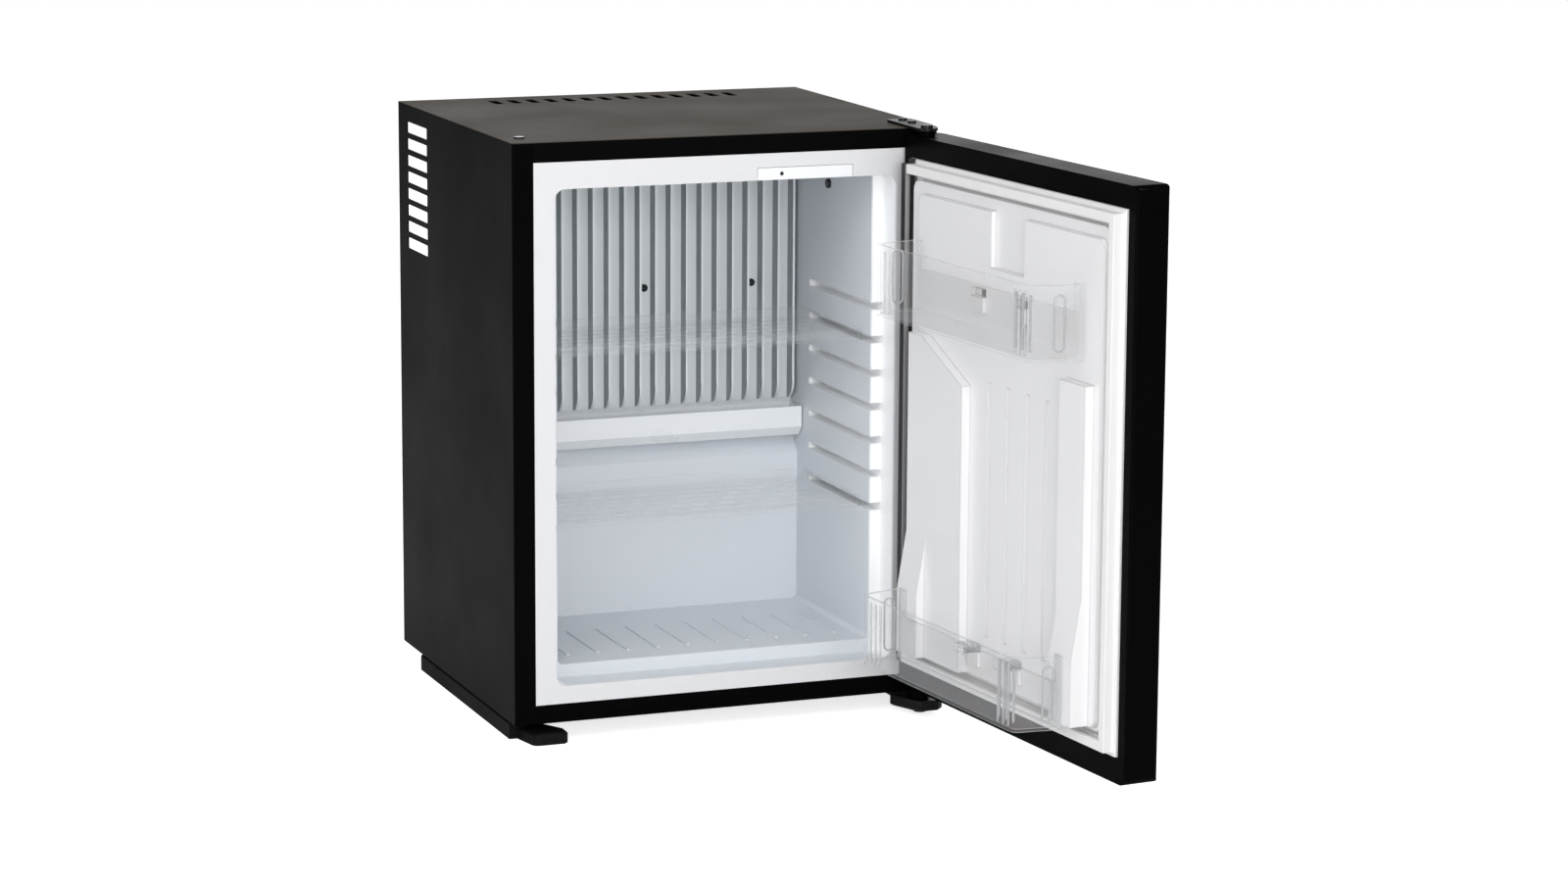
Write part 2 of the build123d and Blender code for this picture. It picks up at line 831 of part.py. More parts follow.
def hinge_hole_plug():
    head = upright(plug_x, plug_y, cabinet_height, cabinet_height + 1.4, hinge_screw_head + 1)
    stem = upright(plug_x, plug_y, lid_low - 8, cabinet_height + 0.5, hinge_screw_radius)
    return fillet(head.edges().group_by(Axis.Z)[-1], 0.8) + stem


def bottom_hinge_bracket():
    """A plate under the cabinet with a thick nose that carries the lower pin."""
    x1 = cabinet_width
    x0 = x1 - lower_nose_inner
    plate = slab(x0, x1 - fit_gap, -1, lower_plate_back, -lower_plate, 0)
    outline = [
        (x0, 0), (x0 + 12, -lower_nose_reach + 5), (x0 + 17, -lower_nose_reach),
        (x1 - 6, -lower_nose_reach), (x1, -lower_nose_reach + 6), (x1, 0)]
    nose = prism_z(outline, -lower_nose_drop, -lower_plate + 1)
    nose = chamfer(nose.edges().group_by(Axis.Z)[0], 1.5)
    bracket = nose + plate
    for x, y in lower_screw_places:
        bracket -= upright(x, y, -lower_plate - 1, 1, foot_screw_radius + fit_gap)
    return bracket - upright(hinge_x, hinge_y, -lower_nose_drop - 1, 2, pin_radius + bush_seat_gap)


def bottom_hinge_pin():
    low = -lower_nose_drop
    pin = upright(hinge_x, hinge_y, low, door_low + bush_length - 2, pin_radius)
    return pin + upright(hinge_x, hinge_y, low - 1.5, low, pin_head_radius)


# ---- door, built closed and then turned open


def door_outline(inset):
    """The door's plan with its rounded edges, drawn inset from the outside."""
    x0 = inset
    x1 = cabinet_width - inset
    y0 = door_outer + inset
    y1 = door_inner - inset
    free = max(door_free_round - inset, 0.6)
    hinge = max(door_hinge_round - inset, 0.6)
    inner = max(door_inner_round - inset, 0.6)
    return FilletPolyline(
        (x0, y0), (x1, y0), (x1, y1), (x0, y1), close=True,
        radius=[free, hinge, inner, inner])


def door_block(inset, z0, z1):
    face = make_face(door_outline(inset))
    return extrude(Pos(0, 0, z0) * face, z1 - z0)


def door_skin():
    skin = door_block(0, lining_low, lining_high) - door_block(door_sheet, lining_low - 1, lining_high + 1)
    return skin - slab(
        lining_left, lining_right, door_inner - 2 * door_sheet, door_inner + 1,
        lining_low - 1, lining_high + 1)


def bush_boss(z0, z1):
    return upright(hinge_x, hinge_y, z0, z1, bush_radius + bush_seat_gap + boss_wall)


def door_cap(z0, z1, outer_end):
    """An end cap: a moulded tray over the end of the door, with a boss for the bush."""
    cap = door_block(0, z0, z1)
    if outer_end > 0:
        hollow = door_block(cap_wall, z0 - 1, z1 - cap_wall)
        boss = bush_boss(z1 - bush_length, z1 - 0.5)
        hole = upright(hinge_x, hinge_y, z1 - bush_length - 1, z1 + 1, bush_radius + bush_seat_gap)
        cutter = corner_cutter(z1, 1)
    else:
        hollow = door_block(cap_wall, z0 + cap_wall, z1 + 1)
        boss = bush_boss(z0 + 0.5, z0 + bush_length)
        hole = upright(hinge_x, hinge_y, z0 - 1, z0 + bush_length + 1, bush_radius + bush_seat_gap)
        cutter = corner_cutter(z0, -1)
    return cap - hollow + boss - hole - cutter


def corner_cutter(z, way):
    """What rounds the free upper or lower corner of the door."""
    r = cap_corner
    corner = slab(-1, r, door_outer - 1, door_inner + 1, min(z, z - way * r), max(z, z - way * r))
    corner += slab(-1, r, door_outer - 1, door_inner + 1, min(z, z + way), max(z, z + way))
    return corner - along_y(r, z - way * r, door_outer - 2, door_inner + 2, r)


def door_foam():
    foam = door_block(door_sheet, lining_low, lining_high)
    foam += door_block(cap_wall, lining_high - 1, door_high - cap_wall)
    foam += door_block(cap_wall, door_low + cap_wall, lining_low + 1)
    for z, way in ((door_high, 1), (door_low, -1)):
        foam -= Pos(cap_wall, 0, -way * cap_wall) * corner_cutter(z, way)
    foam -= bush_boss(door_high - bush_length - fit_gap, door_high)
    foam -= bush_boss(door_low, door_low + bush_length + fit_gap)
    foam -= slab(
        lining_left, lining_right, door_inner - liner_sheet, door_inner + 1, lining_low, lining_high)
    return foam + lining_relief(liner_sheet)


def raised_field(outline, height, shrink):
    """A field of the door lining from (x, z) corners, made smaller all round by shrink."""
    start = door_inner - liner_sheet
    face = make_face(Polyline(*[(x, start, z) for x, z in outline], close=True))
    if shrink:
        face = offset(face, -shrink, kind=Kind.INTERSECTION)
    return extrude(face, height - shrink - start, dir=(0, 1, 0))


def field_corners(x0, x1, z0, z1):
    return [(x0, z0), (x1, z0), (x1, z1), (x0, z1)]


def lining_relief(shrink):
    """The raised field of the door lining, made smaller all round by shrink."""
    edge = gasket_width + plinth_margin
    plinth = raised_field(
        field_corners(lining_left + edge, lining_right - edge, lining_low + edge, lining_high - edge),
        plinth_height, shrink)
    shape = fillet(plinth.edges().filter_by(Axis.Y), 10 - shrink)
    free_x = mouth_left + panel_inset
    hinge_x1 = mouth_right - 2 * panel_inset
    panel = raised_field(
        field_corners(lining_left + edge + plinth_margin, hinge_x1, panel_bottom, panel_top),
        panel_height, shrink)
    shape += fillet(panel.edges().filter_by(Axis.Y), 8 - shrink)
    column_x = hinge_x1 - hinge_column_width
    shape += raised_field(
        [(hinge_x1, panel_bottom), (hinge_x1, column_top), (column_x + corner_run, column_top),
         (column_x, column_top - corner_cut), (column_x, panel_bottom)],
        column_height, shrink)
    free_edge = free_x + free_column_width
    shape += raised_field(
        field_corners(free_x, free_edge, panel_bottom, column_top), column_height, shrink)
    shape += bracket_wedge(hinge_x1 - bracket_width, hinge_x1, shrink)
    shape += bracket_wedge(free_x, free_x + bracket_width, shrink)
    shape -= slab(
        channel_free - shrink, channel_hinge + shrink, plinth_height - shrink, panel_height + 1,
        channel_low - shrink, panel_top + 1)
    middle = (free_edge + column_x) / 2
    for n in range(flute_count):
        x = middle + flute_pitch * (n - (flute_count - 1) / 2)
        half = flute_width / 2 + shrink
        shape -= slab(
            x - half, x + half, panel_height - flute_depth - shrink, panel_height + 1,
            flute_low - shrink, column_top - flute_top_margin + shrink)
    return shape


def bracket_wedge(x0, x1, shrink):
    """The deeper block at the lower bin's end, which slopes back above the bin."""
    start = door_inner - liner_sheet
    low = panel_bottom + shrink
    outline = [
        (start, low), (bracket_height - shrink, low), (bracket_height - shrink, bracket_top),
        (column_height - shrink, bracket_top + bracket_slope), (start, bracket_top + bracket_slope)]
    return prism_x(outline, x0 + shrink, x1 - shrink)


def bin_lugs(surface, floor_z):
    """The two lugs of the lining that one bin hooks over."""
    z1 = floor_z + lug_height + 14
    lugs = []
    for side in (-1, 1):
        x = cabinet_width / 2 + side * hook_offset
        lugs.append(slab(
            x - hook_width / 2, x + hook_width / 2, surface - 1.5, surface + hook_reach - 1.5,
            z1 - lug_height, z1))
    return lugs


def door_liner():
    liner = slab(
        lining_left, lining_right, door_inner - liner_sheet, door_inner, lining_low, lining_high)
    liner += lining_relief(0)
    liner -= lining_relief(liner_sheet)
    for lug in bin_lugs(panel_height, upper_bin_floor) + bin_lugs(panel_height, lower_bin_floor):
        liner += lug
    return liner


def gasket_ring(inset, width, y0, y1):
    return ring_frame(
        lining_left + inset, lining_right - inset, lining_low + inset, lining_high - inset,
        width, y0, y1)


def door_gasket():
    """A soft frame: a wide foot, a narrow neck and a head that holds the magnet strips."""
    foot_high = door_inner + gasket_foot_height
    gasket = gasket_ring(fit_gap, gasket_width - fit_gap, door_inner, foot_high)
    gasket += gasket_ring(gasket_head_inset, gasket_neck_width, foot_high, gasket_head_low)
    gasket += gasket_ring(gasket_head_inset, gasket_head_width, gasket_head_low, -fit_gap)
    for strip in magnet_strips(0.1):
        gasket -= strip
    return gasket


def magnet_strips(gap):
    middle = gasket_head_inset + gasket_head_width / 2
    y0 = magnet_back - gap
    y1 = magnet_back + magnet_height + gap
    half = magnet_width / 2 + gap
    x0 = lining_left + middle
    x1 = lining_right - middle
    z0 = lining_low + middle
    z1 = lining_high - middle
    e = magnet_width
    return [
        slab(x0 - half, x0 + half, y0, y1, z0 + e - gap, z1 - e + gap),
        slab(x1 - half, x1 + half, y0, y1, z0 + e - gap, z1 - e + gap),
        slab(x0 + e - gap, x1 - e + gap, y0, y1, z0 - half, z0 + half),
        slab(x0 + e - gap, x1 - e + gap, y0, y1, z1 - half, z1 + half)]


def top_hinge_bush():
    z0 = door_high - bush_length
    bush = upright(hinge_x, hinge_y, z0, door_high, bush_radius)
    bush += upright(hinge_x, hinge_y, door_high, cabinet_height - fit_gap, bush_flange_radius)
    return bush - upright(hinge_x, hinge_y, z0 - 1, cabinet_height, pin_radius + pin_clearance)


def bottom_hinge_bush():
    z1 = door_low + bush_length
    flange_low = -lower_plate + 1 + fit_gap
    bush = upright(hinge_x, hinge_y, door_low, z1, bush_radius)
    bush += upright(hinge_x, hinge_y, flange_low, door_low, bush_flange_radius)
    return bush - upright(hinge_x, hinge_y, flange_low - 1, z1 + 1, pin_radius + pin_clearance)


# ---- door bins


def bin_tray(back, front_y, grow, z0, z1):
    """The tray's plan, wider at the back than at the front."""
    middle = cabinet_width / 2
    outline = [
        (middle - bin_half_width - bin_flare + grow, back + grow),
        (middle + bin_half_width + bin_flare - grow, back + grow),
        (middle + bin_half_width - grow, front_y - grow),
        (middle - bin_half_width + grow, front_y - grow)]
    return prism_z(outline, z0, z1)


def door_bin(back, front_y, floor_z, surface):
    """A clear bin: tray, thick lip, ribs inside its ends, and two hooks behind."""
    top = floor_z + bin_height
    tray = bin_tray(back, front_y, 0, floor_z, top)
    upright_edges = tray.edges().filter_by(Axis.Z).group_by(Axis.Y)[-1]
    tray = fillet(upright_edges, bin_round)
    hollow = bin_tray(back, front_y, bin_wall, floor_z + bin_wall, top + 1)
    hollow = fillet(hollow.edges().filter_by(Axis.Z).group_by(Axis.Y)[-1], bin_round - bin_wall)
    tray -= hollow
    middle = cabinet_width / 2
    low_back = slab(
        middle - bin_half_width + 4, middle + bin_half_width - 4, back - 1, back + bin_wall + 1,
        floor_z + bin_height * 0.62, top + 1)
    tray -= low_back
    for side in (-1, 1):
        for n in range(bin_end_ribs):
            x = middle + side * (bin_half_width - 12 - 9 * n)
            tray += slab(
                x - 0.9, x + 0.9, front_y - bin_wall - 1.4, front_y - bin_wall + 0.2,
                floor_z + 4, top - 6)
    lug_top = floor_z + lug_height + 14
    for side in (-1, 1):
        x = middle + side * hook_offset
        tray += slab(
            x - hook_width / 2, x + hook_width / 2, surface + fit_gap, back + 1,
            lug_top + fit_gap, lug_top + fit_gap + hook_height)
    return tray


def upper_bin():
    back = panel_height + hook_reach - 1.5 + fit_gap
    return door_bin(back, upper_bin_front, upper_bin_floor, panel_height)


def lower_bin():
    return door_bin(bracket_height + fit_gap, lower_bin_front, lower_bin_floor, panel_height)


# ---- cooling unit in the open space behind the insulation


def boiler_casing():
    """A sheet can round the boiler, with a hole in each end for the tubes."""
    can = upright(boiler_x, unit_y, boiler_low, boiler_high, boiler_radius)
    can -= upright(
        boiler_x, unit_y, boiler_low + boiler_sheet, boiler_high - boiler_sheet,
        boiler_radius - boiler_sheet)
    return can - boiler_tube_hole(1.0) - heater_hole(1.0)


def boiler_tube_hole(gap):
    return upright(
        boiler_x - boiler_tube_offset, unit_y, boiler_low - 5, boiler_high + 5,
        condenser_radius + gap)


def heater_hole(gap):
    x = boiler_x - boiler_tube_offset + heater_offset
    return upright(x, unit_y, boiler_low - 5, boiler_high - 40, heater_radius + gap)


def boiler_wool():
    wool = upright(
        boiler_x, unit_y, boiler_low + boiler_sheet, boiler_high - boiler_sheet,
        boiler_radius - boiler_sheet - fit_gap)
    return wool - boiler_tube_hole(fit_gap) - heater_hole(fit_gap)


def boiler_heater():
    """The electric cartridge, which stands out below the can."""
    x = boiler_x - boiler_tube_offset + heater_offset
    return upright(x, unit_y, boiler_low - 12, boiler_high - 42, heater_radius)


def condenser_tube():
    """Up through the boiler, over and across under the lid, and down to the cold tube."""
    x = boiler_x - boiler_tube_offset
    high = evaporator_rows[0]
    points = [
        (x, unit_y, boiler_low - 14), (x, unit_y, condenser_z),
        (condenser_end, unit_y, condenser_z), (condenser_end, unit_y, high),
        (condenser_end, rear_wall_back + 4, high)]
    return bent_rod(points, condenser_radius, condenser_bend)


def condenser_fin_set():
    fins = []
    for n in range(condenser_fins):
        x = condenser_fin_first + condenser_fin_pitch * n
        half_y = condenser_fin_width / 2
        half_z = condenser_fin_height / 2
        fin = slab(
            x, x + condenser_fin_sheet, unit_y - half_y, unit_y + half_y,
            condenser_z - half_z, condenser_z + half_z)
        fins.append(fin - along_x(unit_y, condenser_z, x - 1, x + 2, condenser_radius + bush_seat_gap))
    return fins


def absorber_coil():
    """From the tank's upper side through the level runs and into the cold tube's return."""
    start_x = tank_left + tank_start
    points = [(start_x, unit_y, tank_z + tank_radius), (start_x, unit_y, coil_low)]
    for row in range(coil_rows):
        z = coil_low + coil_pitch * row
        near, far = (coil_left, coil_right) if row % 2 == 0 else (coil_right, coil_left)
        if row:
            points.append((near, unit_y, z))
        points.append((far, unit_y, z))
    low = evaporator_rows[1]
    points[-1] = (condenser_end, unit_y, points[-1][2])
    points += [(condenser_end, unit_y, low), (condenser_end, rear_wall_back + 4, low)]
    return bent_rod(points, coil_radius, coil_bend)


def reservoir():
    """The liquid tank, with rounded ends."""
    tank = along_x(unit_y, tank_z, tank_left, tank_right, tank_radius)
    return fillet(tank.edges().filter_by(GeomType.CIRCLE), tank_round)


def liquid_line():
    """From the tank's end to the foot of the boiler tube."""
    x = boiler_x - boiler_tube_offset
    points = [(tank_right, unit_y, tank_z), (x, unit_y, tank_z), (x, unit_y, boiler_low - 14)]
    return bent_rod(points, condenser_radius, condenser_bend)


def unit_straps():
    """Two flat straps on the rear wall, with posts that hold the coil and the boiler."""
    straps = []
    front_y = rear_wall_back
    for z in strap_levels:
        half = strap_width / 2
        strap = slab(strap_left, strap_right, front_y, front_y + strap_sheet, z - half, z + half)
        reach = unit_y - boiler_radius - fit_gap
        strap += along_y(boiler_x, z, front_y + 1, reach, strap_post_radius)
        straps.append(strap)
    low = strap_levels[0]
    reach = unit_y - coil_radius - fit_gap
    for x in (coil_left + 40, coil_right - 40):
        straps[0] += along_y(x, low, front_y + 1, reach, strap_post_radius)
    return straps


def unit_cross_rail():
    """A folded rail across the foot of the open back, which carries the tank."""
    y0 = cabinet_depth - cross_rail_depth
    plate = slab(
        sheet, cabinet_width - sheet, y0, cabinet_depth - sheet,
        cross_rail_height - sheet, cross_rail_height)
    plate += slab(
        rear_flange, cabinet_width - rear_flange, cabinet_depth - sheet, cabinet_depth,
        0, cross_rail_height)
    top = tank_z - tank_radius - fit_gap
    for x in (tank_left + 30, tank_right - 30):
        half = saddle_width / 2
        plate += slab(x - half, x + half, unit_y - 14, unit_y + 14, cross_rail_height - 0.5, top)
    return plate


def control_box():
    """The electronics box on the rear wall, hollow, with a hole for the gland."""
    y0 = rear_wall_back
    y1 = y0 + box_depth
    x1 = box_left + box_width
    w = box_wall
    box = slab(box_left, x1, y0, y1, box_low, box_low + box_height)
    box = fillet(box.edges().filter_by(Axis.Y), 3)
    box -= slab(box_left + w, x1 - w, y0 + w, y1 - w, box_low + w, box_low + box_height - w)
    return box - along_y(gland_x, gland_z, y1 - w - 1, y1 + 1, gland_radius - 2 + bush_seat_gap)


gland_x = box_left + box_width - gland_inset
gland_z = box_low + gland_inset


def control_board():
    """The circuit board in the box, with its relay and transformer."""
    y0 = rear_wall_back + box_wall
    w = box_wall + fit_gap
    x1 = box_left + box_width
    board = slab(box_left + w, x1 - w, y0 + 4, y0 + 5.6, box_low + w, box_low + box_height - w)
    board += slab(box_left + 12, box_left + 34, y0 + 5.6, y0 + 22, box_low + 34, box_low + 58)
    board += slab(box_left + 42, box_left + 58, y0 + 5.6, y0 + 18, box_low + 40, box_low + 56)
    for x in (box_left + 8, x1 - 8):
        for z in (box_low + 8, box_low + box_height - 8):
            board += along_y(x, z, y0, y0 + 4.5, 2.5)
    return board


def mains_inlet():
    """The gland for the supply cord: a tapered bush with a collar either side of the wall."""
    y1 = rear_wall_back + box_depth
    w = box_wall
    neck = along_y(gland_x, gland_z, y1 - w - 2, y1, gland_radius - 2)
    collar = along_y(gland_x, gland_z, y1, y1 + 3, gland_radius)
    nose = Pos(gland_x, y1 + 3 + gland_length / 2, gland_z) * Rot(-90, 0, 0) * Cone(
        gland_radius - 1, gland_radius - 3, gland_length)
    gland = neck + collar + nose
    return gland - along_y(gland_x, gland_z, y1 - w - 3, y1 + gland_length + 4, gland_bore)


def evaporation_tray():
    """An open tray on the rear wall under the drain tube."""
    x0 = drain_x - tray_width / 2
    x1 = x0 + tray_width
    y0 = rear_wall_back
    y1 = y0 + tray_depth
    w = tray_wall
    tray = slab(x0, x1, y0, y1, tray_low, tray_low + tray_height)
    tray = fillet(tray.edges().filter_by(Axis.Z), 4)
    hollow = slab(x0 + w, x1 - w, y0 + w, y1 - w, tray_low + w, tray_low + tray_height + 1)
    return tray - fillet(hollow.edges().filter_by(Axis.Z), 4 - w)


# ---- what is written out

cabinet_nodes = {
    "side_panel_left": side_panel_left,
    "top_panel": top_panel,
    "bottom_panel": bottom_panel,
    "rear_wall_panel": rear_wall_panel,
    "cabinet_foam": cabinet_foam,
    "inner_liner": inner_liner,
    "evaporator_plate": evaporator_plate,
    "evaporator_screws": evaporator_screws,
    "drip_gutter": drip_gutter,
    "drain_tube": drain_tube,
    "lamp_housing": lamp_housing,
    "lamp_lens": lamp_lens,
    "lamp_board": lamp_board,
    "lamp_window": lamp_window,
    "temperature_sensor": temperature_sensor,
    "left_foot_rail": left_foot_rail,
    "foot_screws": foot_screws,
    "top_hinge_bracket": top_hinge_bracket,
    "bottom_hinge_bracket": bottom_hinge_bracket,
    "top_hinge_pin": top_hinge_pin,
    "bottom_hinge_pin": bottom_hinge_pin,
    "hinge_screws": hinge_screws,
    "hinge_hole_plug": hinge_hole_plug,
    "boiler_casing": boiler_casing,
    "boiler_wool": boiler_wool,
    "boiler_heater": boiler_heater,
    "condenser_tube": condenser_tube,
    "condenser_fins": condenser_fin_set,
    "absorber_coil": absorber_coil,
    "reservoir": reservoir,
    "liquid_line": liquid_line,
    "unit_straps": unit_straps,
    "unit_cross_rail": unit_cross_rail,
    "control_box": control_box,
    "control_board": control_board,
    "mains_inlet": mains_inlet,
    "evaporation_tray": evaporation_tray,
}
door_nodes = {
    "door_skin": door_skin,
    "door_foam": door_foam,
    "door_liner": door_liner,
    "door_gasket": door_gasket,
    "top_hinge_bush": top_hinge_bush,
    "bottom_hinge_bush": bottom_hinge_bush,
    "upper_bin": upper_bin,
    "lower_bin": lower_bin,
}


def as_compound(made):
    """One piece, or a list of separate like pieces, as one shape to export."""
    pieces = made if isinstance(made, list) else [made]
    solids = [solid for piece in pieces for solid in piece.solids()]
    return solids[0] if len(solids) == 1 else Compound(children=solids)


def place(shape):
    """Move from the building frame to the part's own frame."""
    return Pos(-cabinet_width / 2, -cabinet_depth / 2, foot_height) * shape


def write(name, made):
    export_step(place(as_compound(made)), f"parts/{name}.step")


def turned_open(made):
    return as_compound(made).rotate(door_axis, door_open_angle)


os.makedirs("parts", exist_ok=True)
for name, build in cabinet_nodes.items():
    write(name, build())
write("side_panel_right", mirrored(side_panel_left()))
write("right_foot_rail", mirrored(drilled_rail(rail_body())))
write("evaporator_tube", evaporator_tube_shape(condenser_radius))
write("upper_shelf", shelf(upper_shelf_groove))
write("lower_shelf", shelf(lower_shelf_groove))
for name, build in door_nodes.items():
    write(name, turned_open(build()))
write("door_top_cap", turned_open(door_cap(lining_high, door_high, 1)))
write("door_bottom_cap", turned_open(door_cap(door_low, lining_low, -1)))
write("gasket_magnets", turned_open(magnet_strips(0)))
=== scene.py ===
import bpy
import json
import math
from mathutils import Matrix, Vector


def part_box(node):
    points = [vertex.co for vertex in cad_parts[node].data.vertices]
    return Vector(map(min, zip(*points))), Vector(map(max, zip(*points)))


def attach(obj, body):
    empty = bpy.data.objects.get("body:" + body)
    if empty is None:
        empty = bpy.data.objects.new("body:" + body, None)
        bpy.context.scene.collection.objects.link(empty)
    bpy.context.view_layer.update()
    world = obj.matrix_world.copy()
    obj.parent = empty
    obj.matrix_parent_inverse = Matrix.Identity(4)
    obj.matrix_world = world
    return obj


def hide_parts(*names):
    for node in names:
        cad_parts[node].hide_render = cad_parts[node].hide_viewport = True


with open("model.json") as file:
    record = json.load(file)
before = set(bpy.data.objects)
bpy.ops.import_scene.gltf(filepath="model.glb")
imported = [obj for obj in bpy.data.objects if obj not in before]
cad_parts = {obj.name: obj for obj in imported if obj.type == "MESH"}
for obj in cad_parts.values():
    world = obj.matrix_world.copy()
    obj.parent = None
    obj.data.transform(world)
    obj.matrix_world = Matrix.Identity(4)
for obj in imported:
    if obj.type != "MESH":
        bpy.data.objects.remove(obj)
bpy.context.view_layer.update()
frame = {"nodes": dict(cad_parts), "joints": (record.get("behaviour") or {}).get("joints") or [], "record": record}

nodes = frame["nodes"]
record = frame["record"]
bodyOf = {name: body for body, names in record["behaviour"]["bodies"].items() for name in names}
print("frame loaded:", len(nodes), "nodes")


# camera and room

viewpoint = {
    "place": (-1.334, -3.720, 0.991),
    "turnRight": 21.39,
    "tiltDown": 10.86,
    "roll": 0.35,
    "lens": 98.7,
    "farClip": 60,
}

room = {
    "floorHalf": 14.0,
    "floorShift": 0.55,   # how far back the floor's middle lies, as a share of floorHalf
    "floorColour": (0.95, 0.95, 0.95),
    "floorRough": 0.9,
    "skySeen": 1.0,      # how white the room looks straight on
    "skyLight": 0.26,    # what the room gives as soft light
    "skyGloss": 0.03,    # what shiny paint mirrors of it
    "floorGlow": 0.75,   # keeps the floor pale as far as it is seen
}

# name: place, target, size, power
lamps = {
    "keyLight": ((-1.6, -2.6, 2.6), (0.0, 0.0, 0.3), 2.2, 40.0),
    "frontLight": ((-0.5, -3.6, 0.9), (0.0, 0.0, 0.28), 1.4, 47.0),
    "leftLight": ((-3.2, -1.3, 1.1), (0.15, -0.35, 0.28), 1.6, 27.0),
    "topLight": ((0.2, -0.6, 3.3), (0.0, -0.2, 0.0), 3.0, 20.0),
    "fillLight": ((2.6, -2.0, 1.8), (0.1, -0.1, 0.3), 2.6, 14.0),
    "backLight": ((0.8, 3.2, 1.8), (0.0, 0.1, 0.3), 2.6, 26.0),
}


def makeCamera():
    data = bpy.data.cameras.new("camera")
    data.lens = viewpoint["lens"]
    data.clip_end = viewpoint["farClip"]
    camera = bpy.data.objects.new("camera", data)
    bpy.context.scene.collection.objects.link(camera)
    turn = Matrix.Rotation(-math.radians(viewpoint["turnRight"]), 4, "Z")
    tilt = Matrix.Rotation(math.radians(90 - viewpoint["tiltDown"]), 4, "X")
    roll = Matrix.Rotation(math.radians(viewpoint["roll"]), 4, "Z")
    camera.matrix_world = Matrix.Translation(viewpoint["place"]) @ turn @ tilt @ roll
    bpy.context.scene.camera = camera


def addAreaLight(name, place, target, size, power):
    data = bpy.data.lights.new(name, "AREA")
    data.shape = "SQUARE"
    data.size = size
    data.energy = power
    light = bpy.data.objects.new(name, data)
    bpy.context.scene.collection.objects.link(light)
    light.location = place
    aim = Vector(target) - Vector(place)
    light.rotation_euler = aim.to_track_quat("-Z", "Y").to_euler()


def makeFloor():
    bpy.ops.object.select_all(action="DESELECT")
    half = room["floorHalf"]
    bpy.ops.mesh.primitive_plane_add(size=2 * half, location=(0, half * room["floorShift"], 0))
    floor = bpy.context.object
    floor.name = "floor"
    floor.data.transform(floor.matrix_world)
    floor.matrix_world = Matrix.Identity(4)
    paper = newMaterial("floorPaper")
    shader = paper.node_tree.nodes["shader"]
    shader.inputs["Base Color"].default_value = (*room["floorColour"], 1)
    shader.inputs["Roughness"].default_value = room["floorRough"]
    path = paper.node_tree.nodes.new("ShaderNodeLightPath")
    shader.inputs["Emission Color"].default_value = (1, 1, 1, 1)
    glow = mapRange(paper.node_tree, path.outputs["Is Camera Ray"], 0.0, room["floorGlow"])
    paper.node_tree.links.new(glow, shader.inputs["Emission Strength"])
    floor.data.materials.append(paper)


def makeSky():
    world = bpy.data.worlds.new("studio")
    world.use_nodes = True
    tree = world.node_tree
    sky = tree.nodes["Background"]
    sky.inputs["Color"].default_value = (1, 1, 1, 1)
    path = tree.nodes.new("ShaderNodeLightPath")
    seen = mapRange(tree, path.outputs["Is Camera Ray"], room["skyLight"], room["skySeen"])
    gloss = tree.nodes.new("ShaderNodeMapRange")
    gloss.inputs["To Max"].default_value = room["skyGloss"]
    tree.links.new(path.outputs["Is Glossy Ray"], gloss.inputs["Value"])
    tree.links.new(seen, gloss.inputs["To Min"])
    tree.links.new(gloss.outputs["Result"], sky.inputs["Strength"])
    bpy.context.scene.world = world


def makeRoom():
    makeFloor()
    makeSky()
    for name, (place, target, size, power) in lamps.items():
        addAreaLight(name, place, target, size, power)
    bpy.context.scene.view_settings.view_transform = "Standard"


# materials: each starts from one shader and adds its own grain, tone and bump

def newMaterial(name):
    material = bpy.data.materials.new(name)
    material.use_nodes = True
    tree = material.node_tree
    tree.nodes.clear()
    output = tree.nodes.new("ShaderNodeOutputMaterial")
    shader = tree.nodes.new("ShaderNodeBsdfPrincipled")
    shader.name = "shader"
    tree.links.new(shader.outputs["BSDF"], output.inputs["Surface"])
    return material


def objectPlace(tree, scale=(1, 1, 1)):
    place = tree.nodes.new("ShaderNodeTexCoord")
    mapping = tree.nodes.new("ShaderNodeMapping")
    mapping.inputs["Scale"].default_value = scale
    tree.links.new(place.outputs["Object"], mapping.inputs["Vector"])
    return mapping.outputs["Vector"]


def axisPlace(tree, axis, kind="Object"):
    place = tree.nodes.new("ShaderNodeTexCoord")
    parts = tree.nodes.new("ShaderNodeSeparateXYZ")
    tree.links.new(place.outputs[kind], parts.inputs["Vector"])
    return parts.outputs[axis]


def noise(tree, vector, scale, detail=3.0, roughness=0.5):
    grain = tree.nodes.new("ShaderNodeTexNoise")
    grain.inputs["Scale"].default_value = scale
    grain.inputs["Detail"].default_value = detail
    grain.inputs["Roughness"].default_value = roughness
    tree.links.new(vector, grain.inputs["Vector"])
    return grain.outputs["Fac"]


def mapRange(tree, value, low, high, fromLow=0.0, fromHigh=1.0):
    spread = tree.nodes.new("ShaderNodeMapRange")
    spread.inputs["From Min"].default_value = fromLow
    spread.inputs["From Max"].default_value = fromHigh
    spread.inputs["To Min"].default_value = low
    spread.inputs["To Max"].default_value = high
    tree.links.new(value, spread.inputs["Value"])
    return spread.outputs["Result"]


def combine(tree, operation, first, second):
    sums = tree.nodes.new("ShaderNodeMath")
    sums.operation = operation
    for socket, value in ((sums.inputs[0], first), (sums.inputs[1], second)):
        if isinstance(value, (int, float)):
            socket.default_value = value
        else:
            tree.links.new(value, socket)
    return sums.outputs["Value"]


